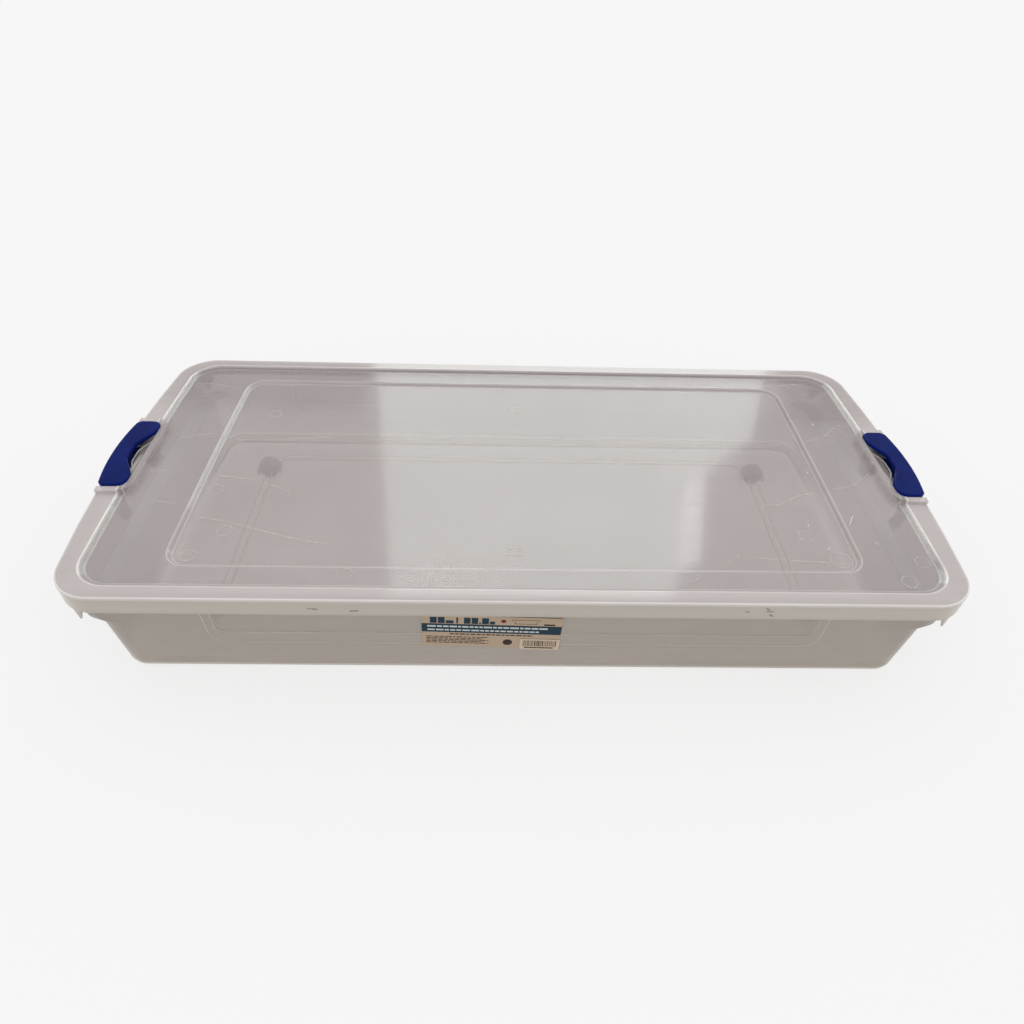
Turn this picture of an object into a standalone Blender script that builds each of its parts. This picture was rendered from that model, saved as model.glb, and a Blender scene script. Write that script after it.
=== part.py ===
"""Under-bed storage box: a shallow clear tub on four wheels, its lift-off lid and two end latches.

Run with: blender --background --python part.py
Metres, +Z up. The origin is on the floor under the middle of the box, +X runs along the box to
its right-hand latch, +Y runs to its far long side, and the label is on the -Y side.
"""

import math

import bmesh
import bpy
from mathutils import Matrix

# ---- Driving dimensions, in metres ----
RIM_TOP = 0.1555  # top of the lid's rim above the floor
LID_HALF_X = 0.524  # half the lid's length at its corners; the ends bulge past it
LID_HALF_Y = 0.254
LID_BOW = 0.017  # how far the middle of each lid end bulges
LID_CORNER = 0.047
LID_WALL = 0.0020
SKIRT_DEPTH = 0.0260
RIM_STEP = 0.0040  # from the rim down to the flat plate
PANEL_STEP = 0.0040  # from the plate down to the centre panel
PANEL_HALF_X = 0.4150
PANEL_HALF_Y = 0.2000
PANEL_CORNER = 0.026
PANEL_BOW = 0.0020

BASE_GAP = 0.0040  # floor to the tub's underside: the wheels stand this far proud
TUB_WALL = 0.0022
TUB_CORNER = 0.026
TUB_BOW = 0.006
TUB_BASE_X, TUB_BASE_Y = 0.4890, 0.2357  # wall's outer face, half sizes at the bottom
TUB_LEDGE_X, TUB_LEDGE_Y = 0.4930, 0.2405  # the same just under the ledge in the end walls
LEDGE_OUT = 0.0150  # how far the ledge widens each end
LEDGE_LOW, LEDGE_HIGH = 0.0940, 0.1040
BASE_ROUND = 0.0090
BASE_CORNER = 0.028
FLANGE_GAP = 0.0007  # between the flange and the lid's rim
LIP_HALF_X, LIP_HALF_Y = 0.5185, 0.2485  # inner face of the flange's turned-down lip
LIP_CORNER = 0.0410
LIP_BOTTOM = 0.1400
TOOTH_TIP = 0.1050  # the lip drops to a point at each corner
TOOTH_STEP = 6  # the corner step that holds the point, from the short side to the long one
TOOTH_RISE = 0.0120  # from the point up to the next step of the corner

FRAME_HALF_X, FRAME_HALF_Y = 0.4022, 0.1920  # middle of the raised frame in the tub's floor
FRAME_WIDTH = 0.0120
FRAME_HEIGHT = 0.0025
BAND_HALF_X = 0.3665  # U-shaped band that stands out from each long wall
BAND_LOW, BAND_TOP = 0.0600, 0.1280
BAND_SIDE, BAND_FOOT = 0.0110, 0.0221
BAND_DEPTH = 0.0009

WHEEL_X, WHEEL_Y = 0.4005, 0.1480
WHEEL_RADIUS = 0.0140
WHEEL_WIDTH = 0.0110
WHEEL_GAP = 0.0018  # around the tread, inside the well
AXLE_RADIUS = 0.0020
AXLE_LENGTH = 0.0174
RUNNING_GAP = 0.0001

LATCH_TOP = 0.1625
LATCH_PLATE = 0.0045
LATCH_HALF_Y = 0.0705
LATCH_TIP_X = 0.5035  # innermost edge of the two lobes
LATCH_MIDDLE_X = 0.5220  # inner edge at the finger gap
LATCH_OUTER_X = 0.5447
LATCH_OUTER_RADIUS = 0.3350
LATCH_LOBE_Y = 0.0520
LATCH_WAIST_Y = 0.0080
LATCH_END = 0.0120  # radius at the lobes' far ends
LATCH_BOTTOM = 0.1200
LATCH_SKIN = 0.0038
PIVOT_X, PIVOT_Z = 0.5265, 0.1000
PIN_RADIUS = 0.0025
ARM_INNER, ARM_OUTER = 0.0495, 0.0565
BOSS_INNER, BOSS_OUTER = 0.0575, 0.0630
POCKET_OUTER_X = 0.5325  # the tub's flange stops here behind each latch
POCKET_HALF_Y = 0.0720
SHELF_INNER_X, SHELF_HALF_Y = 0.5033, 0.0705  # the flange widens inwards under each latch
BOSS_FROM_X = 0.5122  # inside the end wall's thickness
NOTCH_GAP = 0.0008  # between the latch and the lid's notch
LIP_TOP = 0.1600  # top of the raised lip around the notch
NOTCH_LIP = 0.0085  # width of that lip

LABEL_SIZE = (0.1650, 0.0615)
LABEL_CENTRE = (-0.0310, 0.0858)  # x, and height along the near wall
LABEL_TURN = math.radians(-2.0)
BARCODE_SIZE = (0.0480, 0.0212)
BARCODE_CENTRE = (0.0270, 0.0618)
STICKER = 0.0003  # a sticker's thickness, and the gap between one and what is behind it

CORNER_STEPS = 10
END_STEPS = 6
ROUND_STEPS = 24

CLEAR_TUB = (0.80, 0.79, 0.77, 1.0)
CLEAR_LID = (0.83, 0.83, 0.83, 1.0)
BLUE = (0.006, 0.022, 0.130, 1.0)
STEEL = (0.55, 0.56, 0.58, 1.0)
LABEL_PAPER = (0.72, 0.60, 0.48, 1.0)
WHITE_PAPER = (0.80, 0.76, 0.70, 1.0)


# ---- Scene and collections ----
def empty_scene():
    for old in list(bpy.data.objects):
        bpy.data.objects.remove(old, do_unlink=True)


def collection(name):
    made = bpy.data.collections.new(name)
    bpy.context.scene.collection.children.link(made)
    return made


empty_scene()
BOX = collection("under_bed_box")
CUTTERS = collection("cutters")


def material(name, colour, roughness, metallic=0.0):
    made = bpy.data.materials.new(name)
    made.use_nodes = True
    shader = made.node_tree.nodes["Principled BSDF"]
    shader.inputs["Base Color"].default_value = colour
    shader.inputs["Roughness"].default_value = roughness
    shader.inputs["Metallic"].default_value = metallic
    return made


def add_object(name, mesh, home, surface=None):
    made = bpy.data.objects.new(name, mesh)
    home.objects.link(made)
    if home is CUTTERS:
        made.hide_render = True
        made.display_type = "WIRE"
    if surface:
        mesh.materials.append(surface)
        mesh.shade_smooth()
        mesh.set_sharp_from_angle(angle=math.radians(30))
    return made


def mesh_from(name, build):
    """A mesh filled by build(bm)."""
    bm = bmesh.new()
    build(bm)
    mesh = bpy.data.meshes.new(name)
    bm.to_mesh(mesh)
    bm.free()
    return mesh


def joined(name, meshes):
    """One mesh that holds several separate bodies."""

    def build(bm):
        for mesh in meshes:
            bm.from_mesh(mesh)

    return mesh_from(name, build)


def moved(mesh, matrix):
    """A copy of a mesh, moved. A mirrored copy has its faces turned back out."""
    copy = mesh.copy()
    copy.transform(matrix)
    if matrix.determinant() < 0:
        copy.flip_normals()
    return copy


MIRROR_X = Matrix.Scale(-1, 4, (1, 0, 0))
MIRROR_Y = Matrix.Scale(-1, 4, (0, 1, 0))


def both_ends(mesh):
    return [mesh, moved(mesh, MIRROR_X)]


def both_sides(mesh):
    return [mesh, moved(mesh, MIRROR_Y)]


def four_corners(mesh):
    return [corner for end in both_ends(mesh) for corner in both_sides(end)]


# ---- Modifiers ----
def solidify(piece, thickness, offset):
    shell = piece.modifiers.new("wall", "SOLIDIFY")
    shell.thickness = thickness
    shell.offset = offset
    shell.use_even_offset = True
    shell.use_quality_normals = True


def boolean(piece, operation, cutter):
    step = piece.modifiers.new(cutter.name, "BOOLEAN")
    step.operation = operation
    step.solver = "EXACT"
    step.object = cutter


def bevel(piece, width, segments, angle=40):
    edge = piece.modifiers.new("rounded_edges", "BEVEL")
    edge.width = width
    edge.segments = segments
    edge.limit_method = "ANGLE"
    edge.angle_limit = math.radians(angle)


# ---- Outlines ----
def arc(cx, cy, radius, start, end, steps):
    """Points along an arc, in degrees, both ends included."""
    points = []
    for step in range(steps + 1):
        angle = math.radians(start + (end - start) * step / steps)
        points.append((cx + radius * math.cos(angle), cy + radius * math.sin(angle)))
    return points


def box_outline(half_x, half_y, radius, bow):
    """A rounded rectangle whose two ends bulge by bow, counterclockwise from above."""
    flat = half_y - radius
    points = []
    for quarter, (sx, sy) in enumerate(((1, 1), (-1, 1), (-1, -1), (1, -1))):
        start = 90 * quarter
        points += arc(sx * (half_x - radius), sy * flat, radius, start, start + 90, CORNER_STEPS)
        if quarter % 2:
            for step in range(1, END_STEPS):
                points.append((sx * half_x, sy * -1 * flat * (2 * step / END_STEPS - 1)))
    bulge = bow / half_x
    return [(x * (1 + bulge * (1 - (y / half_y) ** 2)), y) for x, y in points]


def ring(half_x, half_y, radius, bow, z):
    return [(x, y, z) for x, y in box_outline(half_x, half_y, radius, bow)]


def loft_skin(name, rings):
    """An open skin through rings of equal length, closed by a face at the last ring."""

    def build(bm):
        loops = [[bm.verts.new(point) for point in points] for points in rings]
        for lower, upper in zip(loops, loops[1:]):
            for index, vertex in enumerate(lower):
                after = (index + 1) % len(lower)
                bm.faces.new((vertex, lower[after], upper[after], upper[index]))
        bm.faces.new(loops[-1])

    return mesh_from(name, build)


def flat_shape(name, points, low, high, axis="Z"):
    """A filled outline extruded from low to high: an XY outline along Z, or an XZ one along Y."""

    def build(bm):
        ends = []
        for level in (low, high):
            if axis == "Z":
                ends.append([bm.verts.new((u, v, level)) for u, v in points])
            else:
                ends.append([bm.verts.new((u, level, v)) for u, v in points])
        for index in range(len(points)):
            after = (index + 1) % len(points)
            bm.faces.new((ends[0][index], ends[0][after], ends[1][after], ends[1][index]))
        for end in ends:
            bm.faces.new(end)
        bmesh.ops.recalc_face_normals(bm, faces=bm.faces)

    return mesh_from(name, build)


def cylinder_y(name, radius, length, centre, steps=ROUND_STEPS):
    """A cylinder along Y."""

    def build(bm):
        turn = Matrix.Translation(centre) @ Matrix.Rotation(math.radians(90), 4, "X")
        bmesh.ops.create_cone(
            bm, cap_ends=True, segments=steps, radius1=radius, radius2=radius, depth=length, matrix=turn
        )

    return mesh_from(name, build)


def block(name, low, high):
    """An axis-aligned box between two corners."""

    def build(bm):
        size = [b - a for a, b in zip(low, high)]
        middle = [(a + b) / 2 for a, b in zip(low, high)]
        place = Matrix.Translation(middle) @ Matrix.Diagonal((*size, 1))
        bmesh.ops.create_cube(bm, size=1, matrix=place)

    return mesh_from(name, build)


# ---- Tub ----
FLANGE_UNDER = RIM_TOP - LID_WALL - FLANGE_GAP - TUB_WALL
WALL_TILT = math.atan((TUB_LEDGE_Y - TUB_BASE_Y) / (LEDGE_LOW - BASE_GAP - BASE_ROUND))


def wall_face_y(z):
    """Distance of the long wall's outer face from the middle, at a height."""
    return TUB_LEDGE_Y - (LEDGE_LOW - z) * math.tan(WALL_TILT)


def tooth_height(step):
    """Height of the lip's lower edge, that many corner steps from the short side."""
    return min(LIP_BOTTOM, TOOTH_TIP + TOOTH_RISE * abs(step - TOOTH_STEP))


def lip_edge():
    """The lip's lower edge, which drops to a point at each corner."""
    points = ring(LIP_HALF_X, LIP_HALF_Y, LIP_CORNER, LID_BOW, LIP_BOTTOM)
    arc_points = CORNER_STEPS + 1
    starts = [0, arc_points, 2 * arc_points + END_STEPS - 1, 3 * arc_points + END_STEPS - 1]
    for quarter, start in enumerate(starts):
        for step in range(arc_points):
            x, y, _ = points[start + step]
            from_short_side = CORNER_STEPS - step if quarter % 2 else step
            points[start + step] = (x, y, tooth_height(from_short_side))
    return points


def tub_rings():
    """The tub's outer skin, from the lip's edge over the flange and down to the floor."""
    rings = [lip_edge()]
    rings.append(ring(LIP_HALF_X, LIP_HALF_Y, LIP_CORNER, LID_BOW, FLANGE_UNDER))
    top_x = TUB_LEDGE_X + LEDGE_OUT
    rings.append(ring(top_x, wall_face_y(FLANGE_UNDER), TUB_CORNER, TUB_BOW, FLANGE_UNDER))
    rings.append(ring(top_x, wall_face_y(LEDGE_HIGH), TUB_CORNER, TUB_BOW, LEDGE_HIGH))
    rings.append(ring(TUB_LEDGE_X, TUB_LEDGE_Y, TUB_CORNER, TUB_BOW, LEDGE_LOW))
    for degrees in (0, 30, 60, 90):
        angle = math.radians(degrees)
        inset = BASE_ROUND * (1 - math.cos(angle))
        z = BASE_GAP + BASE_ROUND * (1 - math.sin(angle))
        rings.append(ring(TUB_BASE_X - inset, TUB_BASE_Y - inset, BASE_CORNER - inset / 2, TUB_BOW, z))
    half = FRAME_WIDTH / 2
    for side, z in ((half, 0), (half - 0.002, FRAME_HEIGHT), (0.002 - half, FRAME_HEIGHT), (-half, 0)):
        rings.append(ring(FRAME_HALF_X + side, FRAME_HALF_Y + side, 0.030 + side, 0, BASE_GAP + z))
    return rings


def well_outline(radius, bottom):
    """A half round over straight sides, in X and Z, about a wheel's axis."""
    return arc(WHEEL_X, WHEEL_RADIUS, radius, 0, 180, 12) + [
        (WHEEL_X - radius, bottom),
        (WHEEL_X + radius, bottom),
    ]


def across_wheel(name, outline, half_width):
    return four_corners(flat_shape(name, outline, WHEEL_Y - half_width, WHEEL_Y + half_width, "Y"))


def band_outline():
    """A U lying open side up, in X and Z."""
    outer, inner = BAND_HALF_X, BAND_HALF_X - BAND_SIDE
    low, high = BAND_LOW, BAND_LOW + BAND_FOOT
    points = [(-outer, BAND_TOP)]
    points += arc(-outer + 0.020, low + 0.020, 0.020, 180, 270, 6)
    points += arc(outer - 0.020, low + 0.020, 0.020, 270, 360, 6)
    points += [(outer, BAND_TOP), (inner, BAND_TOP)]
    points += arc(inner - 0.009, high + 0.009, 0.009, 0, -90, 4)
    points += arc(-inner + 0.009, high + 0.009, 0.009, -90, -180, 4)
    points.append((-inner, BAND_TOP))
    return points


def against_wall(mesh):
    """Tilts a shape made about y = 0 so that it lies on the near wall's outer face."""
    lean = Matrix.Rotation(WALL_TILT, 4, "X")
    pivot = Matrix.Translation((0, -wall_face_y(BAND_LOW), BAND_LOW))
    return moved(mesh, pivot @ lean @ Matrix.Translation((0, 0, -BAND_LOW)))


def latch_boss():
    """A cheek that hangs from the flange beside one latch arm."""
    top, outer = FLANGE_UNDER + TUB_WALL / 2, POCKET_OUTER_X - 0.0010
    points = [(BOSS_FROM_X, top), (BOSS_FROM_X, 0.1065)]
    points += arc(PIVOT_X, PIVOT_Z, 0.0068, 180, 345, 8)
    points += [(outer, 0.1250), (outer, top)]
    return flat_shape("latch_boss", points, BOSS_INNER, BOSS_OUTER, "Y")


def make_tub():
    tub = add_object("tub", loft_skin("tub", tub_rings()), BOX, material("clear_tub", CLEAR_TUB, 0.25))
    solidify(tub, TUB_WALL, 1)

    well = WHEEL_RADIUS + WHEEL_GAP
    raised = flat_shape("band", band_outline(), -BAND_DEPTH, TUB_WALL / 2, "Y")
    shelf_low = (SHELF_INNER_X, -SHELF_HALF_Y, FLANGE_UNDER + 0.0001)
    shelf_high = (0.5150, SHELF_HALF_Y, FLANGE_UNDER + TUB_WALL - 0.0001)
    solids = four_corners(latch_boss()) + both_ends(block("shelf", shelf_low, shelf_high))
    solids += across_wheel("well", well_outline(well + TUB_WALL, BASE_GAP + 0.0005), 0.0107)
    solids += both_sides(against_wall(raised))
    boolean(tub, "UNION", add_object("tub_solids", joined("tub_solids", solids), CUTTERS))

    hollows = across_wheel("well_hollow", well_outline(well, -0.01), WHEEL_WIDTH / 2 + 0.0007)
    pin_hole = cylinder_y("pin_hole", PIN_RADIUS + RUNNING_GAP, 0.0150, (PIVOT_X, 0.0600, PIVOT_Z), 16)
    hollows += four_corners(pin_hole)
    finger_slot = block("finger_slot", (0.5160, -0.0240, 0.1300), (0.5400, 0.0240, 0.1700))
    hollows += both_ends(finger_slot)
    boolean(tub, "DIFFERENCE", add_object("tub_hollows", joined("tub_hollows", hollows), CUTTERS))

    snug = AXLE_RADIUS + RUNNING_GAP
    slot = arc(WHEEL_X, WHEEL_RADIUS, snug, 0, 180, 8) + [(WHEEL_X - snug, 0), (WHEEL_X + snug, 0)]
    slots = across_wheel("axle_slot", slot, AXLE_LENGTH / 2 + RUNNING_GAP)
    boolean(tub, "DIFFERENCE", add_object("axle_slots", joined("axle_slots", slots), CUTTERS))

    pocket_low = (POCKET_OUTER_X, -POCKET_HALF_Y, LEDGE_HIGH)
    pockets = both_ends(block("pocket", pocket_low, (0.5600, POCKET_HALF_Y, 0.1700)))
    boolean(tub, "DIFFERENCE", add_object("pockets", joined("pockets", pockets), CUTTERS))


# ---- Wheels and axles ----
def make_wheels():
    rubber = material("wheel_blue", BLUE, 0.35)
    steel = material("axle_steel", STEEL, 0.30, 1.0)
    tread = cylinder_y("wheel", WHEEL_RADIUS, WHEEL_WIDTH, (0, 0, 0), 32)
    bore = cylinder_y("wheel_bore", AXLE_RADIUS + RUNNING_GAP, 0.0300, (0, 0, 0), 16)
    rod = cylinder_y("axle", AXLE_RADIUS, AXLE_LENGTH, (0, 0, 0), 16)
    for across, sy in (("far", 1), ("near", -1)):
        for along, sx in (("left", -1), ("right", 1)):
            place = (sx * WHEEL_X, sy * WHEEL_Y, WHEEL_RADIUS)
            corner = f"{across}_{along}"
            wheel = add_object(f"wheel_{corner}", tread.copy(), BOX, rubber)
            wheel.location = place
            cutter = add_object(f"bore_{corner}", bore, CUTTERS)
            cutter.location = place
            bevel(wheel, 0.0012, 2)
            boolean(wheel, "DIFFERENCE", cutter)
            axle = add_object(f"axle_{corner}", rod.copy(), BOX, steel)
            axle.location = place


# ---- Lid ----
def lid_rings():
    """The lid's outer skin, from the skirt's edge up over the rim and down to the panel."""
    plate = RIM_TOP - RIM_STEP
    panel = plate - PANEL_STEP
    rings = []
    for inset, z in ((0, RIM_TOP - SKIRT_DEPTH), (0, RIM_TOP - 0.0035), (0.0010, RIM_TOP - 0.0012)):
        rings.append(ring(LID_HALF_X - inset, LID_HALF_Y - inset, LID_CORNER - inset, LID_BOW, z))
    rings.append(ring(LID_HALF_X - 0.0035, LID_HALF_Y - 0.0035, LID_CORNER - 0.0035, LID_BOW, RIM_TOP))
    rings.append(ring(0.5055, 0.2360, 0.0400, 0.0060, RIM_TOP))
    rings.append(ring(0.4985, 0.2290, 0.0350, 0.0060, plate))
    rings.append(ring(PANEL_HALF_X, PANEL_HALF_Y, PANEL_CORNER, PANEL_BOW, plate))
    rings.append(ring(PANEL_HALF_X - 0.005, PANEL_HALF_Y - 0.005, PANEL_CORNER - 0.004, PANEL_BOW, panel))
    return rings


def notch_outline(grow):
    """The space that one latch fills, open past the lid's end, grown by grow."""
    inner = LATCH_TIP_X - NOTCH_GAP - grow
    side = LATCH_HALF_Y + NOTCH_GAP + grow
    radius = LATCH_END + NOTCH_GAP + grow
    points = [(0.5700, -side), (0.5700, side)]
    points += arc(inner + radius, side - radius, radius, 90, 180, 6)
    points += arc(inner + radius, radius - side, radius, 180, 270, 6)
    return points


def make_lid():
    lid = add_object("lid", loft_skin("lid", lid_rings()), BOX, material("clear_lid", CLEAR_LID, 0.18))
    solidify(lid, LID_WALL, -1)

    bed = RIM_TOP - RIM_STEP - 0.0008
    under = RIM_TOP - LID_WALL
    lips = both_ends(flat_shape("lip", notch_outline(NOTCH_LIP), bed, LIP_TOP))
    lip_object = add_object("notch_lips", joined("notch_lips", lips), CUTTERS)
    inset = box_outline(LID_HALF_X - 0.0012, LID_HALF_Y, LID_CORNER, LID_BOW)
    lip_limit = add_object("lip_limit", flat_shape("lip_limit", inset, 0.1000, 0.2000), CUTTERS)
    boolean(lip_object, "INTERSECT", lip_limit)
    boolean(lid, "UNION", lip_object)

    hollow = flat_shape("lip_hollow", notch_outline(NOTCH_LIP - 0.0018), 0.1400, LIP_TOP - 0.0018)
    hollows = add_object("lip_hollows", joined("lip_hollows", both_ends(hollow)), CUTTERS)
    keep = block("skirt_end", (0.5383, -0.0900, 0.1000), (0.5900, 0.0900, 0.1700))
    boolean(hollows, "DIFFERENCE", add_object("skirt_ends", joined("skirt_ends", both_ends(keep)), CUTTERS))
    boolean(lid, "DIFFERENCE", hollows)

    notches = both_ends(flat_shape("notch", notch_outline(0), 0.1000, 0.1800))
    boolean(lid, "DIFFERENCE", add_object("notches", joined("notches", notches), CUTTERS))
    over_flange = both_ends(block("over_flange", (0.5105, -0.0850, 0.1450), (0.5383, 0.0850, under)))
    boolean(lid, "DIFFERENCE", add_object("over_flange", joined("over_flange", over_flange), CUTTERS))


# ---- Latches ----
def latch_outer_x(y):
    """The crescent's outer edge, an arc about a centre on the X axis."""
    centre = LATCH_OUTER_X - LATCH_OUTER_RADIUS
    return centre + math.sqrt(LATCH_OUTER_RADIUS**2 - y * y)


def latch_inner_x(y):
    """The crescent's inner edge: a waist in the middle and a lobe towards each end."""
    share = (abs(y) - LATCH_WAIST_Y) / (LATCH_LOBE_Y - LATCH_WAIST_Y)
    share = min(max(share, 0.0), 1.0)
    eased = share * share * (3 - 2 * share)
    return LATCH_MIDDLE_X - (LATCH_MIDDLE_X - LATCH_TIP_X) * eased


def crescent():
    """The latch's outline from above, counterclockwise."""
    tip = LATCH_HALF_Y - LATCH_END
    points = []
    for step in range(-6, 7):
        y = (LATCH_HALF_Y - 0.0050) * step / 6
        points.append((latch_outer_x(y), y))
    shoulder = latch_outer_x(LATCH_HALF_Y) - 0.0050
    points.append((shoulder, LATCH_HALF_Y))
    points += arc(LATCH_TIP_X + LATCH_END, tip, LATCH_END, 90, 180, 5)
    for step in range(8, -9, -1):
        y = LATCH_LOBE_Y * step / 8
        points.append((latch_inner_x(y), y))
    points += arc(LATCH_TIP_X + LATCH_END, -tip, LATCH_END, 180, 270, 5)
    points.append((shoulder, -LATCH_HALF_Y))
    return points


def latch_arm():
    """An arm from the latch's skirt in to its pivot, in X and Z."""
    skin = latch_outer_x(ARM_OUTER) - 0.0015
    points = arc(PIVOT_X, PIVOT_Z, 0.0055, 90, 270, 8)
    points += [(0.5330, 0.0955), (skin, 0.1020), (skin, 0.1300), (0.5335, 0.1300), (0.5335, 0.1070)]
    return points


def make_latch(name, side):
    """One latch. Its origin is on its pivot; side is 1 for +X and -1 for -X."""
    body = flat_shape(name, crescent(), LATCH_BOTTOM - 0.0060, LATCH_TOP)
    under = LATCH_TOP - LATCH_PLATE
    trim = block("trim", (0.5000, -0.0900, 0.0900), (0.5800, 0.0900, LATCH_BOTTOM))
    throat = block("throat", (0.5000, -0.0900, 0.0900), (0.5330, 0.0900, under))
    cheek = LATCH_HALF_Y - LATCH_SKIN
    inner = [(latch_outer_x(cheek * step / 6) - LATCH_SKIN, cheek * step / 6) for step in range(-6, 7)]
    inner += [(0.5300, cheek), (0.5300, -cheek)]
    inside = flat_shape("inside", inner, 0.0900, under)
    arms = both_sides(flat_shape("arm", latch_arm(), ARM_INNER, ARM_OUTER, "Y"))
    middle = (ARM_INNER + 0.0008 + BOSS_OUTER - 0.0010) / 2
    length = (BOSS_OUTER - 0.0010) - (ARM_INNER + 0.0008)
    pins = both_sides(cylinder_y("pin", PIN_RADIUS, length, (PIVOT_X, middle, PIVOT_Z), 16))

    to_side = MIRROR_X if side < 0 else Matrix.Identity(4)
    pivot = (side * PIVOT_X, 0, PIVOT_Z)
    to_pivot = Matrix.Translation([-value for value in pivot])

    def placed(label, meshes, home, surface=None):
        at_pivot = [moved(mesh, to_pivot @ to_side) for mesh in meshes]
        made = add_object(label, joined(label, at_pivot), home, surface)
        made.location = pivot
        return made

    latch = placed(name, [body], BOX, material(f"{name}_blue", BLUE, 0.40))
    bevel(latch, 0.0022, 3)
    boolean(latch, "DIFFERENCE", placed(f"{name}_trim", [trim], CUTTERS))
    boolean(latch, "DIFFERENCE", placed(f"{name}_throat", [throat], CUTTERS))
    boolean(latch, "DIFFERENCE", placed(f"{name}_inside", [inside], CUTTERS))
    boolean(latch, "UNION", placed(f"{name}_arms", arms, CUTTERS))
    boolean(latch, "UNION", placed(f"{name}_pins", pins, CUTTERS))


# ---- Label ----
def sticker(name, size, centre, gap, surface):
    """A thin rectangle over the near wall, slightly turned, its back that far from the wall."""
    half_x, half_z = size[0] / 2, size[1] / 2
    corners = ((-half_x, -half_z), (half_x, -half_z), (half_x, half_z), (-half_x, half_z))
    flat = flat_shape(name, corners, -gap - STICKER, -gap, "Y")
    turned = moved(flat, Matrix.Rotation(-LABEL_TURN, 4, "Y"))
    upright = moved(turned, Matrix.Translation((centre[0], 0, centre[1])))
    add_object(name, against_wall(upright), BOX, surface)


make_tub()
make_lid()
make_latch("latch_right", 1)
make_latch("latch_left", -1)
make_wheels()
ON_BAND = BAND_DEPTH + STICKER
sticker("size_label", LABEL_SIZE, LABEL_CENTRE, ON_BAND, material("label_paper", LABEL_PAPER, 0.5))
ON_LABEL = ON_BAND + 2 * STICKER
sticker("barcode_sticker", BARCODE_SIZE, BARCODE_CENTRE, ON_LABEL, material("white_paper", WHITE_PAPER, 0.5))
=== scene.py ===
"""Looks for the under-bed storage box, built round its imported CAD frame. Metres, +Z up."""

import math
import random

import bmesh
import bpy
from mathutils import Matrix, Vector


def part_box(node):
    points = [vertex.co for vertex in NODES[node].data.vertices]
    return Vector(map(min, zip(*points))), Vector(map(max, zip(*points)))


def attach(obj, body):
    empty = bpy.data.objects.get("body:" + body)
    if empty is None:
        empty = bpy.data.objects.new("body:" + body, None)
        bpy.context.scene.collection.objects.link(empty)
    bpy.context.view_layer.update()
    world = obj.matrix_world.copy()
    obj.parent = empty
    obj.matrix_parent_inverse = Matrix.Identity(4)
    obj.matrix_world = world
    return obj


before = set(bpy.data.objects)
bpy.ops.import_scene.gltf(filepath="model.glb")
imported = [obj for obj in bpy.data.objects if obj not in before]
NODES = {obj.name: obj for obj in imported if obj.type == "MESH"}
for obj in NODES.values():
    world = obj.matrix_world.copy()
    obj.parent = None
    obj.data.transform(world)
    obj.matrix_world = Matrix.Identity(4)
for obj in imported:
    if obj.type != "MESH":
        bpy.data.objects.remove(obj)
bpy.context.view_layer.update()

# ---- Driving values ----
CAMERA_PLACE = (-0.0290, -0.7697, 0.7590)
CAMERA_YAW = -0.0350  # radians, counterclockwise from above, from looking along +Y
CAMERA_PITCH = 0.7372  # below the horizon
CAMERA_ROLL = 0.0364  # counterclockwise, seen from behind the camera
CAMERA_SENSOR = 36  # mm wide
CAMERA_LENS = 24.96  # mm
CAMERA_SHIFT = (-0.0012, 0.0)

NOTCH_LIP = 0.0045  # height of the lips round the lid's notches, its highest points
LID_STEP = 0.0040  # from the rim down to the plate, and from the plate down to the panel
RIM_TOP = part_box("lid")[1][2] - NOTCH_LIP
PLATE_TOP = RIM_TOP - LID_STEP
PANEL_TOP = PLATE_TOP - LID_STEP
PANEL_FLAT = (0.410, 0.195)  # half sizes of the panel inside its step
SHELF_TOP = RIM_TOP - 0.0027  # the tub's shelf under each latch

# Outlines where the shape turns: half length, half width, corner radius, bow of the ends.
PANEL_LINE = (0.4135, 0.1985, 0.0255, 0.002)
RIM_INNER_LINE = (0.5035, 0.2340, 0.0390, 0.006)
RIM_OUTER_LINE = (0.5225, 0.2525, 0.0455, 0.017)
FLOOR_FRAME_LINE = (0.4022, 0.1920, 0.0300, 0.0)
FLOOR_EDGE_LINE = (0.4868, 0.2335, 0.0260, 0.006)
# The two edges of the band on the long walls stand upright, centred on this height.
BAND_MIDDLE = 0.1600
BAND_OUTER_LINE = (0.3665, 0.1000, 0.0200, 0.0, BAND_MIDDLE)
BAND_INNER_LINE = (0.3555, 0.0779, 0.0090, 0.0, BAND_MIDDLE)

# How far the see-through plastics vary from place to place.
CLOUD_HAZE = 0.14
STREAK_HAZE = 0.08
STREAK_ROUGHNESS = 0.08
DULL = 0.90  # the duller patches' colour, as a share of the rest's
PLASTIC_IOR = 1.9

WHITE = (1.0, 1.0, 1.0, 1.0)
FLOOR_REACH = 12.0  # from the origin to each side of the floor
FLOOR_GLOW = 0.72
FLOOR_DIFFUSE = (0.245, 0.245, 0.245, 1)
WORLD_COLOUR = (1.0, 0.99, 0.985, 1)
WORLD_STRENGTH = 0.85
CARD_COLOUR = (0.92, 1.0, 0.95, 1)
CARD_HEIGHT = 1.6  # of the bright card that the lid reflects
CARD_STRENGTH = 3.45
STREAK_STRENGTH = 4.8
CARD_GAP = 0.02  # between the card, the streak under it and the dark cards under both
# The cards' corners, clockwise from above: their edges show in the lid.
CARD = ((-0.70, 2.72), (1.50, 2.76), (1.24, 2.06), (0.96, 1.80), (0.66, 1.02), (-0.42, 1.02))
DARK_LEFT = ((-1.70, 2.20), (-1.70, 2.64), (-0.71, 2.64), (-0.70, 2.20))
DARK_RIGHT = ((1.44, 2.14), (1.52, 2.66), (1.90, 2.66), (1.90, 2.14))
STREAK = ((0.84, 1.72), (0.92, 1.70), (0.80, 1.20), (0.68, 1.12))

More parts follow.
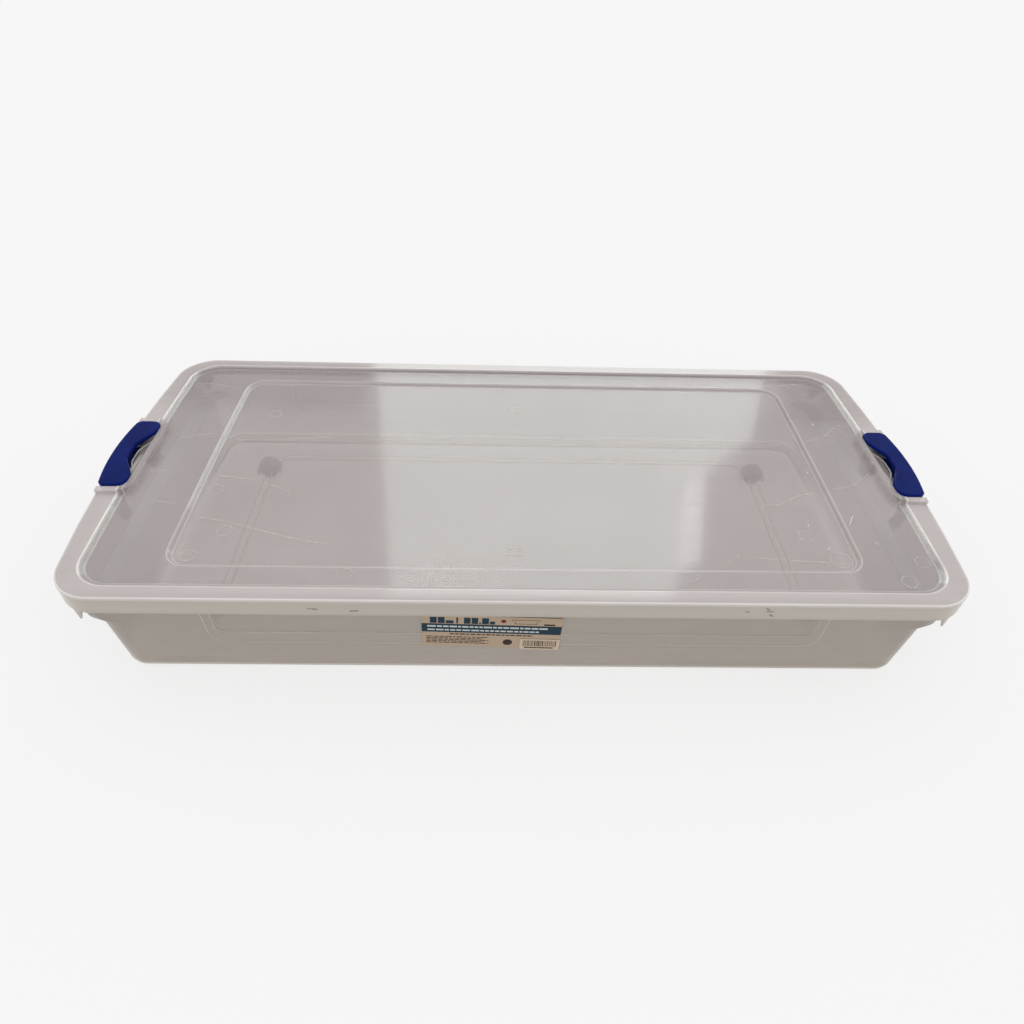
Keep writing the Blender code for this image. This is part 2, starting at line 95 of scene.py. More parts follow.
INK = 0.00012  # thickness of print and of surface marks
MARK_GAP = 0.00002  # between a surface mark and what it lies on
WORD_GAP = 0.008  # between two words of print, in shares of the label's length
DOT_SIDES = 16
RING_SIDES = 24
RIBBON_TAPER = 0.4  # a ribbon's width at its ends, as a share of its full width
CURVE_STEPS = 5  # from one point of a smooth line to the next


# ---- Camera ----
def make_camera():
    sin_yaw, cos_yaw = math.sin(CAMERA_YAW), math.cos(CAMERA_YAW)
    forward = Vector(
        (-sin_yaw * math.cos(CAMERA_PITCH), cos_yaw * math.cos(CAMERA_PITCH), -math.sin(CAMERA_PITCH))
    )
    right = Vector((cos_yaw, sin_yaw, 0))
    up = right.cross(forward)
    rolled_right = right * math.cos(CAMERA_ROLL) + up * math.sin(CAMERA_ROLL)
    rolled_up = up * math.cos(CAMERA_ROLL) - right * math.sin(CAMERA_ROLL)
    camera = bpy.data.objects.new("camera", bpy.data.cameras.new("camera"))
    camera.data.lens = CAMERA_LENS
    camera.data.sensor_width = CAMERA_SENSOR
    camera.data.shift_x, camera.data.shift_y = CAMERA_SHIFT
    rotation = Matrix((rolled_right, rolled_up, -forward)).transposed().to_4x4()
    camera.matrix_world = Matrix.Translation(CAMERA_PLACE) @ rotation
    bpy.context.scene.collection.objects.link(camera)
    bpy.context.scene.camera = camera


# ---- Node helpers ----
class Shade:
    """A material's node tree, with short calls for the nodes that this script uses."""

    def __init__(self, name):
        self.material = bpy.data.materials.new(name)
        self.material.use_nodes = True
        self.tree = self.material.node_tree
        self.tree.nodes.clear()
        self.output = self.tree.nodes.new("ShaderNodeOutputMaterial")
        # The tub and the lid stand at the origin, so their object coordinates are the frame's.
        self.place = self.tree.nodes.new("ShaderNodeTexCoord").outputs["Object"]

    def put(self, socket, value):
        """Link or set a socket; None leaves it as it is."""
        if isinstance(value, bpy.types.NodeSocket):
            self.tree.links.new(value, socket)
        elif value is not None:
            socket.default_value = value

    def math(self, operation, a, b=None, c=None, clamp=False):
        node = self.tree.nodes.new("ShaderNodeMath")
        node.operation = operation
        node.use_clamp = clamp
        for socket, value in zip(node.inputs, (a, b, c)):
            self.put(socket, value)
        return node.outputs[0]

    def noise(self, scale, detail, stretch=(1, 1, 1)):
        spot = self.tree.nodes.new("ShaderNodeMapping")
        self.put(spot.inputs["Vector"], self.place)
        spot.inputs["Scale"].default_value = stretch
        node = self.tree.nodes.new("ShaderNodeTexNoise")
        self.put(node.inputs["Vector"], spot.outputs[0])
        node.inputs["Scale"].default_value = scale
        node.inputs["Detail"].default_value = detail
        return node.outputs[0]

    def ramp(self, value, low, high, out_low=0.0, out_high=1.0):
        """A smooth step from out_low to out_high while value goes from low to high."""
        node = self.tree.nodes.new("ShaderNodeMapRange")
        node.interpolation_type = "SMOOTHSTEP"
        self.put(node.inputs["Value"], value)
        node.inputs["From Min"].default_value = low
        node.inputs["From Max"].default_value = high
        node.inputs["To Min"].default_value = out_low
        node.inputs["To Max"].default_value = out_high
        return node.outputs[0]

    def mix(self, share, a, b):
        """A colour, share of the way from a to b; the numbers are the node's colour sockets."""
        node = self.tree.nodes.new("ShaderNodeMix")
        node.data_type = "RGBA"
        self.put(node.inputs[0], share)
        self.put(node.inputs[6], a)
        self.put(node.inputs[7], b)
        return node.outputs[2]

    def bump(self, height, distance, strength):
        node = self.tree.nodes.new("ShaderNodeBump")
        node.inputs["Strength"].default_value = strength
        node.inputs["Distance"].default_value = distance
        self.put(node.inputs["Height"], height)
        return node.outputs[0]

    def axes(self):
        node = self.tree.nodes.new("ShaderNodeSeparateXYZ")
        self.put(node.inputs[0], self.place)
        return node.outputs[0], node.outputs[1], node.outputs[2]

    def past_outline(self, half_x, half_y, radius, bow, upright=None):
        """Distance outside a rounded rectangle with bowed ends; less than 0 inside it.

        It lies level about the origin, or stands along X with its middle at the height upright.
        """
        x, y, z = self.axes()
        if upright is not None:
            y = self.math("SUBTRACT", z, upright)
        bulge = self.product(y, y, bow / half_y**2)
        across = self.math("ADD", self.math("ABSOLUTE", x), bulge)
        over_x = self.math("SUBTRACT", across, half_x + bow - radius)
        over_y = self.math("SUBTRACT", self.math("ABSOLUTE", y), half_y - radius)
        out_x, out_y = self.math("MAXIMUM", over_x, 0.0), self.math("MAXIMUM", over_y, 0.0)
        squares = self.math("ADD", self.product(out_x, out_x), self.product(out_y, out_y))
        inside = self.math("MINIMUM", self.math("MAXIMUM", over_x, over_y), 0.0)
        return self.math("ADD", self.math("SQRT", squares), self.math("SUBTRACT", inside, radius))

    def product(self, *values):
        result = values[0]
        for value in values[1:]:
            result = self.math("MULTIPLY", result, value)
        return result

    def facing(self):
        node = self.tree.nodes.new("ShaderNodeLayerWeight")
        node.inputs["Blend"].default_value = 0.5
        return node.outputs["Facing"]

    def principled(self, colour, roughness, normal=None, **more):
        """A Principled shader; an underscore in a name of more stands for a space."""
        node = self.tree.nodes.new("ShaderNodeBsdfPrincipled")
        self.put(node.inputs["Base Color"], colour)
        self.put(node.inputs["Roughness"], roughness)
        self.put(node.inputs["Normal"], normal)
        for name, value in more.items():
            self.put(node.inputs[name.replace("_", " ")], value)
        return node.outputs[0]

    def clear(self, colour):
        node = self.tree.nodes.new("ShaderNodeBsdfTransparent")
        self.put(node.inputs[0], colour)
        return node.outputs[0]

    def blend(self, share, a, b):
        node = self.tree.nodes.new("ShaderNodeMixShader")
        self.put(node.inputs[0], share)
        self.tree.links.new(a, node.inputs[1])
        self.tree.links.new(b, node.inputs[2])
        return node.outputs[0]

    def finish(self, shader):
        self.tree.links.new(shader, self.output.inputs["Surface"])
        return self.material


def paint(obj, material):
    obj.data.materials.clear()
    obj.data.materials.append(material)


def rgb(red, green, blue):
    """A display colour, 0 to 255, as the linear colour a shader takes."""

    def linear(value):
        value /= 255
        return value / 12.92 if value <= 0.04045 else ((value + 0.055) / 1.055) ** 2.4

    return linear(red), linear(green), linear(blue), 1.0


# ---- Plastics ----
def see_through(name, colour, tint, solid, edge_solid, roughness, add_marks):
    """Frosted polypropylene: a hazy skin over a slightly tinted clear wall.

    solid is the skin's share where it is seen square on, and edge_solid where it is seen along.
    add_marks(shade) gives (mask, added haze, colour) for each zone that differs.
    """
    shade = Shade(name)
    cloud = shade.noise(5.0, 4.0)
    streak = shade.noise(12.0, 4.0, (1.0, 8.0, 8.0))
    haze = shade.math("MULTIPLY_ADD", cloud, CLOUD_HAZE, solid - CLOUD_HAZE / 2)
    haze = shade.math("MULTIPLY_ADD", streak, STREAK_HAZE, shade.math("SUBTRACT", haze, STREAK_HAZE / 2))
    edge = shade.math("POWER", shade.facing(), 2.0)
    haze = shade.math("MULTIPLY_ADD", edge, edge_solid - solid, haze)
    dull = tuple(c * DULL for c in colour[:3]) + (1.0,)
    tone = shade.mix(shade.ramp(cloud, 0.3, 0.7), colour, dull)
    for mask, more_haze, zone_colour in add_marks(shade):
        haze = shade.math("MULTIPLY_ADD", mask, more_haze, haze)
        tone = shade.mix(mask, tone, zone_colour)
    haze = shade.math("ADD", haze, 0.0, clamp=True)
    rough = shade.math("MULTIPLY_ADD", streak, STREAK_ROUGHNESS, roughness - STREAK_ROUGHNESS / 2)
    skin = shade.principled(tone, rough, shade.bump(streak, 0.0002, 0.04), IOR=PLASTIC_IOR)
    return shade.finish(shade.blend(haze, shade.clear(tint), skin))


def line(shade, outline, width, offset=0.0):
    """1 along the line that runs offset outside an outline, falling to 0 at width from it."""
    away = shade.math("ABSOLUTE", shade.math("SUBTRACT", shade.past_outline(*outline), offset))
    return shade.ramp(away, 0.0, width, 1.0, 0.0)


def lid_marks(shade):
    z = shade.axes()[2]
    # The flat rim, then the skirt below it, toned darker and browner as painted shade.
    rim = shade.ramp(shade.past_outline(*RIM_INNER_LINE), -0.0010, 0.0015)
    yield rim, 0.30, rgb(230, 222, 221)
    skirt = shade.ramp(z, RIM_TOP - 0.0055, RIM_TOP - 0.0020, 1.0, 0.0)
    yield shade.product(rim, skirt), 0.0, rgb(190, 182, 167)
    # Painted highlights along the moulding's steps and the rim's outer edge: the line, its width, its
    # offset and added haze.
    painted_highlight = rgb(242, 238, 236)
    steps = (
        (PANEL_LINE, 0.0014, 0.0018, 0.20),
        (PANEL_LINE, 0.0012, -0.0035, 0.12),
        (RIM_INNER_LINE, 0.0016, 0.0018, 0.20),
        (RIM_INNER_LINE, 0.0012, -0.0050, 0.12),
        (RIM_OUTER_LINE, 0.0014, 0.0, 0.35),
    )
    for outline, width, offset, more_haze in steps:
        yield line(shade, outline, width, offset), more_haze, painted_highlight


def tub_marks(shade):
    x, y, z = shade.axes()
    past_middle, past_axis = shade.math("ABSOLUTE", x), shade.math("ABSOLUTE", y)
    # The walls, above the floor.
    yield shade.ramp(z, 0.015, 0.035), 0.14, rgb(168, 158, 147)
    # Painted highlights along both edges of the raised frame on the floor.
    floor = shade.ramp(z, 0.010, 0.016, 1.0, 0.0)
    painted_highlight = rgb(236, 232, 220)
    for offset in (0.0055, -0.0055):
        yield shade.product(floor, line(shade, FLOOR_FRAME_LINE, 0.0022, offset)), 0.40, painted_highlight
    # Painted highlight where the floor meets the far wall, on the far side only.
    far = shade.ramp(y, 0.100, 0.200)
    corner = shade.ramp(z, 0.016, 0.022, 1.0, 0.0)
    floor_edge_highlight = shade.product(far, corner, line(shade, FLOOR_EDGE_LINE, 0.0045))
    yield floor_edge_highlight, 0.75, rgb(246, 244, 234)
    # The ledge round the end walls.
    ledge = shade.product(shade.ramp(z, 0.092, 0.094), shade.ramp(z, 0.104, 0.106, 1.0, 0.0))
    yield shade.product(ledge, shade.ramp(past_middle, 0.470, 0.480)), 0.10, rgb(142, 134, 128)
    # The middle of the end walls, behind the latches.
    near_axis = shade.ramp(past_axis, 0.040, 0.120, 1.0, 0.0)
    clearer = shade.product(shade.ramp(past_middle, 0.470, 0.515), near_axis)
    yield clearer, -0.12, rgb(168, 160, 152)
    # Painted highlights along both edges of the band on the long walls.
    sides = shade.ramp(past_axis, 0.222, 0.230)
    for outline in (BAND_OUTER_LINE, BAND_INNER_LINE):
        yield shade.product(sides, line(shade, outline, 0.0014)), 0.14, rgb(200, 192, 178)


def blue_plastic(name, dark, light, roughness):
    shade = Shade(name)
    cloud = shade.noise(40.0, 3.0)
    grain = shade.noise(1400.0, 2.0)
    colour = shade.mix(shade.ramp(cloud, 0.35, 0.7), dark, light)
    rough = shade.math("MULTIPLY_ADD", cloud, 0.16, roughness - 0.08)
    normal = shade.bump(grain, 0.0001, 0.2)
    return shade.finish(shade.principled(colour, rough, normal, IOR=1.45, Specular_IOR_Level=0.07))


def steel():
    shade = Shade("axle_steel")
    streak = shade.noise(600.0, 2.0, (1.0, 0.05, 1.0))
    colour = shade.mix(streak, rgb(150, 152, 156), rgb(200, 202, 206))
    rough = shade.math("MULTIPLY_ADD", streak, 0.2, 0.22)
    return shade.finish(shade.principled(colour, rough, Metallic=1.0))


def paper(name, colour, dark, roughness=0.45):
    shade = Shade(name)
    fibre = shade.noise(500.0, 3.0)
    tone = shade.mix(fibre, colour, dark)
    return shade.finish(shade.principled(tone, roughness, Specular_IOR_Level=0.12))


def faint(name, colour, solid):
    """A surface mark that lets much of what is under it show."""
    shade = Shade(name)
    patch = shade.noise(130.0, 3.0)
    share = shade.math("MULTIPLY_ADD", patch, 0.7, solid - 0.35, clamp=True)
    skin = shade.principled(colour, 0.5)
    return shade.finish(shade.blend(share, shade.clear(WHITE), skin))


# ---- Thin surface pieces ----
def add_piece(name, build, material, body):
    """A new piece that rides on a CAD body; build(bm) makes its shape."""
    bm = bmesh.new()
    build(bm)
    bmesh.ops.recalc_face_normals(bm, faces=bm.faces)
    mesh = bpy.data.meshes.new(name)
    bm.to_mesh(mesh)
    bm.free()
    piece = bpy.data.objects.new(name, mesh)
    bpy.context.scene.collection.objects.link(piece)
    paint(piece, material)
    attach(piece, body)


def slab(bm, outline, rise):
    """A closed plate: an outline of 3-D points and the vector from its back to its front."""
    back = [bm.verts.new(point) for point in outline]
    front = [bm.verts.new(point + rise) for point in outline]
    bm.faces.new(back)
    bm.faces.new(front)
    for index in range(len(outline)):
        after = (index + 1) % len(outline)
        bm.faces.new((back[index], back[after], front[after], front[index]))


class Face:
    """The front of a sticker: fractions along it and down it become points."""

    def __init__(self, node):
        place, mesh = NODES[node].matrix_world, NODES[node].data
        front = [p for p in mesh.polygons if p.normal.y < -0.8]
        corners = [place @ mesh.vertices[v].co for p in front for v in p.vertices]
        self.top_left = max(corners, key=lambda c: c.z - c.x)
        self.along = max(corners, key=lambda c: c.z + c.x) - self.top_left
        self.down = min(corners, key=lambda c: c.z + c.x) - self.top_left
        self.rise = self.along.cross(-self.down).normalized() * INK

    def at(self, u, v, layer):
        """A point just off the face; each layer clears the one under it by a tenth of the ink."""
        return self.top_left + self.along * u + self.down * v + self.rise * (1.1 * layer + 0.1)

    def bar(self, bm, left, right, top, bottom, layer=0):
        corners = ((left, top), (right, top), (right, bottom), (left, bottom))
        slab(bm, [self.at(u, v, layer) for u, v in corners], self.rise)

    def dot(self, bm, u, v, size):
        """A round spot; size is its radius as a share of the sticker's height."""
        wide = size * self.down.length / self.along.length
        turns = [2 * math.pi * side / DOT_SIDES for side in range(DOT_SIDES)]
        points = [self.at(u + wide * math.cos(t), v + size * math.sin(t), 0) for t in turns]
        slab(bm, points, self.rise)


def words(rng, left, right, top, bottom, short, long):
    """Bars of random length in one row, standing in for a line of print."""
    bars = []
    while left < right:
        end = min(left + rng.uniform(short, long), right)
        bars.append((left, end, top, bottom))
        left = end + WORD_GAP
    return bars


# Printed bars as left, right, top and bottom, in shares of the label's length and height.
TEAL_BAND = (0.0, 1.0, 0.26, 0.53)
HEADING_BARS = (
    (0.060, 0.108, 0.05, 0.24),
    (0.116, 0.164, 0.05, 0.24),
    (0.172, 0.226, 0.15, 0.24),
    (0.246, 0.258, 0.05, 0.24),
    (0.300, 0.346, 0.05, 0.24),
    (0.354, 0.400, 0.05, 0.24),
    (0.408, 0.420, 0.19, 0.24),
    (0.428, 0.476, 0.05, 0.24),
    (0.484, 0.520, 0.15, 0.24),
)
# A plain line drawing of a low box with a lid, and a short bar beside it.
DRAWING_BARS = (
    (0.87, 0.95, 0.19, 0.235),
    (0.64, 0.84, 0.075, 0.085),
    (0.66, 0.82, 0.195, 0.205),
    (0.64, 0.6435, 0.075, 0.12),
    (0.8365, 0.84, 0.075, 0.12),
    (0.66, 0.6635, 0.12, 0.205),
    (0.8165, 0.82, 0.12, 0.205),
)
# Places and radii of two round spots, the radii in shares of the label's height.
DARK_DOT = (0.62, 0.82, 0.095)
RED_DOT = (0.58, 0.13, 0.05)
BARCODE_WIDTHS = (0.010, 0.016, 0.026)
BARCODE_GAPS = (0.014, 0.024)


def make_label_print():
    rng = random.Random(7)
    face = Face("size_label")
    sticker = Face("barcode_sticker")
    black = words(rng, 0.20, 0.80, 0.57, 0.605, 0.02, 0.05)
    for row in range(5):
        top = 0.67 + 0.05 * row
        black += words(rng, 0.03, 0.48 - 0.04 * (row % 2), top, top + 0.022, 0.015, 0.05)
    black += DRAWING_BARS
    white = words(rng, 0.04, 0.90, 0.315, 0.365, 0.02, 0.07)
    white += words(rng, 0.04, 0.84, 0.430, 0.475, 0.02, 0.06)

    def bars(items, layer):
        def build(bm):
            for item in items:
                face.bar(bm, *item, layer)

        return build

    def dark_print(bm):
        bars(black, 0)(bm)
        face.dot(bm, *DARK_DOT)

    def red_dot(bm):
        face.dot(bm, *RED_DOT)

    def barcode(bm):
        left = 0.08
        while left < 0.90:
            wide = rng.choice(BARCODE_WIDTHS)
            sticker.bar(bm, left, left + wide, 0.12, 0.68)
            left += wide + rng.choice(BARCODE_GAPS)
        for bar in words(rng, 0.12, 0.86, 0.76, 0.88, 0.04, 0.07):
            sticker.bar(bm, *bar)

    add_piece("label_band", bars([TEAL_BAND], 0), LABEL_TEAL, "tub")
    add_piece("label_heading", bars(HEADING_BARS, 0), LABEL_TEAL, "tub")
    add_piece("label_dark_print", dark_print, LABEL_BLACK, "tub")
    add_piece("label_white_print", bars(white, 1), LABEL_WHITE, "tub")
    add_piece("label_red_dot", red_dot, LABEL_RED, "tub")
    add_piece("barcode_bars", barcode, BAR_BROWN, "tub")


# ---- Surface marks on the lid and under the latches ----
def ribbon(bm, points, width, top):
    """A thin raised strip along a line of X, Y points, narrower at its ends."""
    rows = []
    for index, (x, y) in enumerate(points):
        before, after = points[max(index - 1, 0)], points[min(index + 1, len(points) - 1)]
        way = Vector((after[0] - before[0], after[1] - before[1])).normalized()
        half = width / 2 * (RIBBON_TAPER if index in (0, len(points) - 1) else 1.0)
        side = Vector((-way.y, way.x)) * half
        rows.append([(x + side.x, y + side.y), (x - side.x, y - side.y)])
    low = [[bm.verts.new((x, y, top)) for x, y in row] for row in rows]
    high = [[bm.verts.new((x, y, top + INK)) for x, y in row] for row in rows]
    for index in range(len(rows) - 1):
        a, b, c, d = low[index], low[index + 1], high[index], high[index + 1]
        bm.faces.new((a[0], a[1], b[1], b[0]))
        bm.faces.new((c[0], d[0], d[1], c[1]))
        bm.faces.new((a[0], b[0], d[0], c[0]))
        bm.faces.new((a[1], c[1], d[1], b[1]))
    for index in (0, -1):
        a, c = low[index], high[index]
        bm.faces.new((a[0], c[0], c[1], a[1]))


def along_curve(a, b, c, d, t):
    """One coordinate of a Catmull-Rom curve, t of the way from b to c."""
    square = (2 * a - 5 * b + 4 * c - d) * t**2
    cube = (3 * b - a - 3 * c + d) * t**3
    return 0.5 * (2 * b + (c - a) * t + square + cube)


def smooth(points):
    """A Catmull-Rom line through points."""
    ends = [points[0], *points, points[-1]]
    line = []
    for four in zip(ends, ends[1:], ends[2:], ends[3:]):
        for step in range(CURVE_STEPS):
            line.append(tuple(along_curve(*sides, step / CURVE_STEPS) for sides in zip(*four)))
    return [*line, points[-1]]


def lid_height(x, y):
    """Height of the lid's top surface at a point of its plate or panel."""
    on_panel = abs(x) < PANEL_FLAT[0] and abs(y) < PANEL_FLAT[1]
    return PANEL_TOP if on_panel else PLATE_TOP


# Each hairline is a run of X, Y points; none crosses the step round the panel.
HAIRLINES = (
    ((-0.494, 0.187), (-0.463, 0.185), (-0.426, 0.176)),
    ((-0.482, 0.058), (-0.474, 0.046), (-0.450, 0.052), (-0.426, 0.060)),
    ((-0.402, 0.048), (-0.350, 0.049), (-0.307, 0.053), (-0.256, 0.059)),
    ((-0.488, -0.030), (-0.450, -0.025)),
    ((-0.404, -0.032), (-0.378, -0.034), (-0.344, -0.041), (-0.329, -0.047), (-0.292, -0.065)),
    ((-0.467, -0.088), (-0.444, -0.091), (-0.425, -0.096)),
    ((-0.402, -0.113), (-0.356, -0.123), (-0.320, -0.135), (-0.264, -0.152), (-0.231, -0.158)),
    ((0.421, 0.203), (0.430, 0.211), (0.462, 0.215)),
    ((0.422, 0.060), (0.451, 0.071), (0.474, 0.094), (0.490, 0.103)),
    ((0.325, -0.076), (0.345, -0.076), (0.377, -0.057), (0.404, -0.050)),
    ((0.426, -0.046), (0.450, -0.043), (0.465, -0.032), (0.490, -0.010)),
    ((0.437, -0.142), (0.447, -0.154)),
    ((0.247, -0.190), (0.257, -0.177), (0.271, -0.169)),
    ((0.288, -0.173), (0.335, -0.178), (0.385, -0.180)),
)
# Short straight scratches, as X, Y points.
SCRATCHES = (
    ((0.423, -0.116), (0.433, -0.099)),
    ((0.446, 0.101), (0.448, 0.105)),
    ((0.403, -0.009), (0.406, -0.006)),
    ((0.370, -0.117), (0.372, -0.114)),
    ((0.382, -0.158), (0.385, -0.154)),
)
# Centre and radius of each round mark that the mould's ejector pins left.
EJECTOR_RINGS = (
    (-0.356, 0.113, 0.009),
    (-0.392, -0.060, 0.009),
    (-0.360, -0.137, 0.009),
    (-0.391, -0.180, 0.009),
    (-0.200, -0.210, 0.008),
    (0.201, -0.209, 0.008),
    (0.392, -0.176, 0.013),
    (0.361, -0.135, 0.009),
    (0.488, -0.182, 0.009),
    (0.458, -0.214, 0.009),
)
MOULD_BARS = ((-0.004, 0.134), (-0.004, -0.166))  # middles of two groups of raised bars
# Brown scuffs on the near skirt, as X, Z points.
SCUFFS = (
    ((-0.237, 0.141), (-0.226, 0.140)),
    ((-0.190, 0.137), (-0.180, 0.138)),
    ((0.256, 0.143), (0.261, 0.142)),
    ((0.279, 0.148), (0.283, 0.146)),
    ((0.280, 0.143), (0.288, 0.143)),
    ((0.284, 0.138), (0.290, 0.135)),
)

HAIRLINE_WIDTH = 0.0013
SCRATCH_WIDTH = 0.0020
RING_WIDTH = 0.0009
SCUFF_HALF_WIDTH = 0.0009
BAR_WIDTH = 0.0016
BAR_PITCH = 0.006  # between the rows of a group of raised bars
BAR_HALF_LENGTH, BAR_SHORTER = 0.011, 0.002  # of the first row, and less by this in each next

# The latch's inner edge, which the ridge on the shelf follows.
LATCH_EDGE_X = 0.5220  # at its middle
LATCH_EDGE_IN = 0.0185  # how far it comes in at its ends
LATCH_EDGE_FLAT = 0.008  # half its straight middle
LATCH_EDGE_RUN = 0.044  # along Y from there to where it has come in fully
RIDGE_FROM_LATCH = 0.0040
RIDGE_HALF_LENGTH = 0.046
RIDGE_MIN_X = 0.5046  # the shelf starts just short of this
RIDGE_STEPS = 12  # along each half
RIDGE_LAYERS = 10
RIDGE_LAYER_RISE = 0.00014
RIDGE_WIDTH, RIDGE_NARROWER = 0.0016, 0.0001  # of the first layer, and less in each next


def circle(x, y, radius):
    turns = [2 * math.pi * side / RING_SIDES for side in range(RING_SIDES + 1)]
    return [(x + radius * math.cos(turn), y + radius * math.sin(turn)) for turn in turns]


def pocket_line(side):
    """The line that the shelf's low ridge follows, a little in from the latch's inner edge."""
    points = []
    for step in range(-RIDGE_STEPS, RIDGE_STEPS + 1):
        y = RIDGE_HALF_LENGTH * step / RIDGE_STEPS
        share = min(max((abs(y) - LATCH_EDGE_FLAT) / LATCH_EDGE_RUN, 0.0), 1.0)
        x = LATCH_EDGE_X - LATCH_EDGE_IN * share * share * (3 - 2 * share) - RIDGE_FROM_LATCH
        points.append((side * max(x, RIDGE_MIN_X), y))
    return points


def pocket_ridges(bm):
    for side in (1, -1):
        for layer in range(RIDGE_LAYERS):
            width = RIDGE_WIDTH - RIDGE_NARROWER * layer
            ribbon(bm, pocket_line(side), width, SHELF_TOP + MARK_GAP + RIDGE_LAYER_RISE * layer)


def hairlines(bm):
    for run in HAIRLINES:
        ribbon(bm, smooth(run), HAIRLINE_WIDTH, lid_height(*run[0]) + MARK_GAP)


def scratches(bm):
    for run in SCRATCHES:
        ribbon(bm, run, SCRATCH_WIDTH, lid_height(*run[0]) + MARK_GAP)


def ejector_rings(bm):
    for x, y, radius in EJECTOR_RINGS:
        ribbon(bm, circle(x, y, radius), RING_WIDTH, lid_height(x, y) + MARK_GAP)


def mould_bars(bm):
    for x, y in MOULD_BARS:
        for row in range(3):
            half = BAR_HALF_LENGTH - BAR_SHORTER * row
            level = y + BAR_PITCH * (row - 1)
            ends = [(x - half, level), (x, level), (x + half, level)]
            ribbon(bm, ends, BAR_WIDTH, PANEL_TOP + MARK_GAP)


def skirt_scuffs(bm):
    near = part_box("lid")[0][1] - MARK_GAP
    for (x0, z0), (x1, z1) in SCUFFS:
        low = [Vector((x0, near, z0 - SCUFF_HALF_WIDTH)), Vector((x1, near, z1 - SCUFF_HALF_WIDTH))]
        high = [Vector((x1, near, z1 + SCUFF_HALF_WIDTH)), Vector((x0, near, z0 + SCUFF_HALF_WIDTH))]
        slab(bm, low + high, Vector((0, -INK, 0)))


def make_marks():
    ridge = faint("ridge", rgb(232, 230, 230), 0.55)
    hairline = faint("hairline", rgb(236, 230, 222), 0.30)
    scratch = faint("scratch", WHITE, 0.95)
    moulded_line = faint("moulded_line", rgb(228, 224, 220), 0.42)
    moulded_bar = faint("moulded_bar", rgb(232, 230, 226), 0.62)
    brown_scuff = faint("brown_scuff", rgb(120, 100, 78), 0.32)
    add_piece("pocket_ridges", pocket_ridges, ridge, "tub")
    add_piece("hairlines", hairlines, hairline, "lid")
    add_piece("scratches", scratches, scratch, "lid")
    add_piece("ejector_rings", ejector_rings, moulded_line, "lid")
    add_piece("mould_bars", mould_bars, moulded_bar, "lid")
    add_piece("skirt_scuffs", skirt_scuffs, brown_scuff, "lid")


# ---- Stage ----
def flat_stage(name, points, height, material):
    mesh = bpy.data.meshes.new(name)
    mesh.from_pydata([(x, y, height) for x, y in points], [], [range(len(points))])
    piece = bpy.data.objects.new(name, mesh)
    bpy.context.scene.collection.objects.link(piece)
    paint(piece, material)
    return piece


def glow(name, colour, strength, diffuse=None):
    """A plain emitter, with some diffuse under it where it has to take a soft shadow."""
    shade = Shade(name)
    light = shade.tree.nodes.new("ShaderNodeEmission")
    light.inputs[0].default_value = colour
    light.inputs[1].default_value = strength
    if diffuse is None:
        return shade.finish(light.outputs[0])
    total = shade.tree.nodes.new("ShaderNodeAddShader")
    shade.tree.links.new(light.outputs[0], total.inputs[0])
    shade.tree.links.new(shade.principled(diffuse, 1.0, Specular_IOR_Level=0.0), total.inputs[1])
    return shade.finish(total.outputs[0])


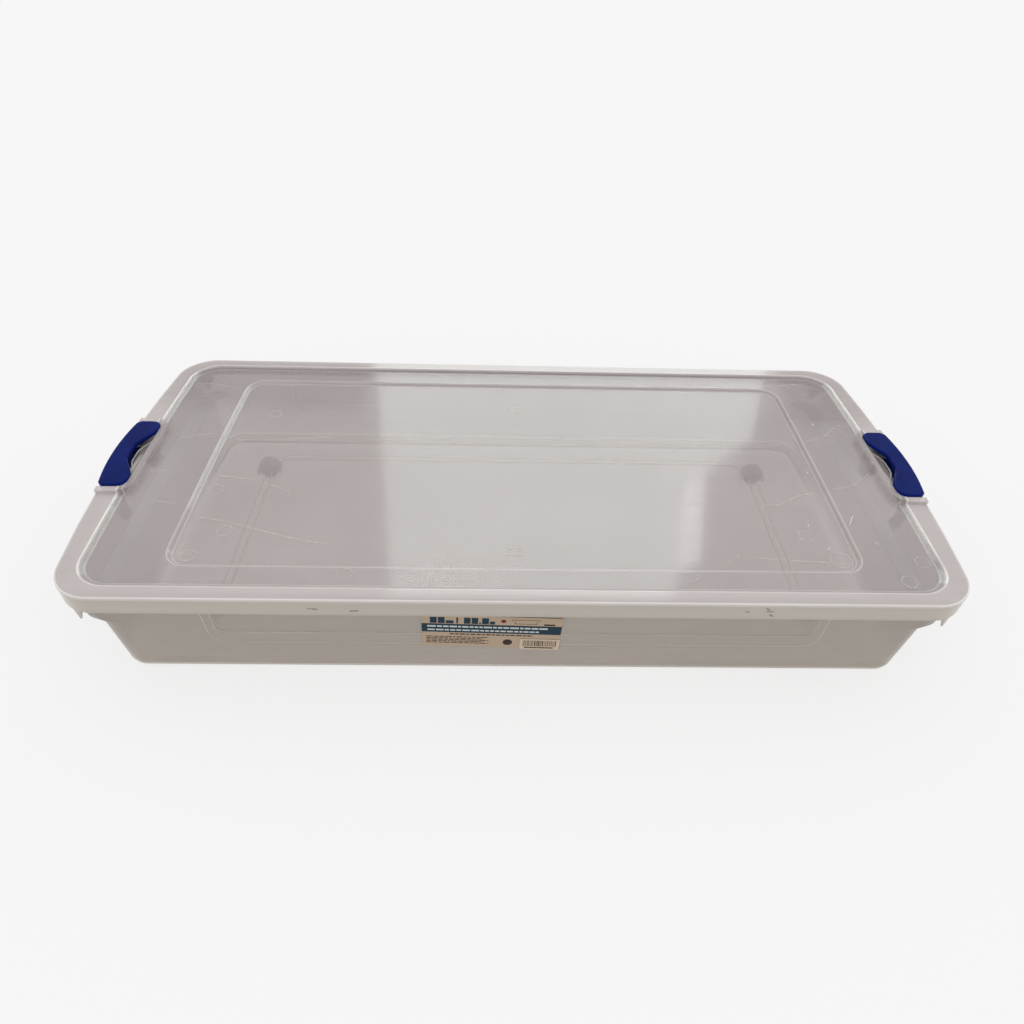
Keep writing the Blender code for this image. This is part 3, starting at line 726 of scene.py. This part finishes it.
def make_stage():
    far = FLOOR_REACH
    corners = ((-far, -far), (far, -far), (far, far), (-far, far))
    flat_stage("floor", corners, 0.0, glow("floor_paper", WHITE, FLOOR_GLOW, FLOOR_DIFFUSE))
    # Only what mirrors the cards shows them. Each lies some gaps below the card's height.
    cards = (
        ("card", CARD, 0, CARD_COLOUR, CARD_STRENGTH),
        ("streak", STREAK, 1, WHITE, STREAK_STRENGTH),
        ("dark_left", DARK_LEFT, 2, WHITE, 0.0),
        ("dark_right", DARK_RIGHT, 2, WHITE, 0.0),
    )
    for name, outline, gaps, colour, strength in cards:
        height = CARD_HEIGHT - CARD_GAP * gaps
        card = flat_stage(name, outline, height, glow(f"{name}_light", colour, strength))
        card.visible_camera = False
        card.visible_diffuse = False
        card.visible_shadow = False
        card.visible_transmission = False

    world = bpy.data.worlds.new("studio")
    world.use_nodes = True
    world.node_tree.nodes["Background"].inputs[0].default_value = WORLD_COLOUR
    world.node_tree.nodes["Background"].inputs[1].default_value = WORLD_STRENGTH
    bpy.context.scene.world = world


# ---- Paint the CAD nodes ----
FROSTED_TUB = see_through(
    "frosted_tub",
    colour=rgb(172, 160, 146),
    tint=(0.93, 0.92, 0.90, 1),
    solid=0.34,
    edge_solid=0.75,
    roughness=0.40,
    add_marks=tub_marks,
)
CLEAR_LID = see_through(
    "clear_lid",
    colour=rgb(220, 211, 213),
    tint=(0.953, 0.948, 0.950, 1),
    solid=0.27,
    edge_solid=0.70,
    roughness=0.09,
    add_marks=lid_marks,
)
LATCH_BLUE = blue_plastic("latch_blue", rgb(2, 24, 98), rgb(6, 32, 112), 0.32)
WHEEL_BLUE = blue_plastic("wheel_blue", rgb(34, 60, 132), rgb(44, 72, 146), 0.40)
AXLE_STEEL = steel()
LABEL_PAPER = paper("label_paper", rgb(176, 156, 134), rgb(168, 148, 126))
WHITE_PAPER = paper("white_paper", rgb(200, 182, 160), rgb(192, 174, 152))
LABEL_TEAL = paper("ink_teal", rgb(8, 42, 58), rgb(14, 50, 66), 0.35)
LABEL_BLACK = paper("ink_dark", rgb(40, 30, 24), rgb(50, 38, 30), 0.40)
LABEL_WHITE = paper("ink_white", rgb(196, 200, 196), rgb(180, 186, 184), 0.40)
LABEL_RED = paper("ink_red", rgb(96, 22, 26), rgb(110, 30, 32), 0.40)
BAR_BROWN = paper("ink_brown", rgb(58, 38, 26), rgb(70, 48, 34), 0.40)
NODE_MATERIALS = {
    "tub": FROSTED_TUB,
    "lid": CLEAR_LID,
    "latch": LATCH_BLUE,
    "wheel": WHEEL_BLUE,
    "axle": AXLE_STEEL,
    "size": LABEL_PAPER,
    "barcode": WHITE_PAPER,
}

make_camera()
make_stage()
for node, part in NODES.items():
    paint(part, NODE_MATERIALS[node.split("_")[0]])
make_label_print()
make_marks()
bpy.context.scene.view_settings.view_transform = "Standard"
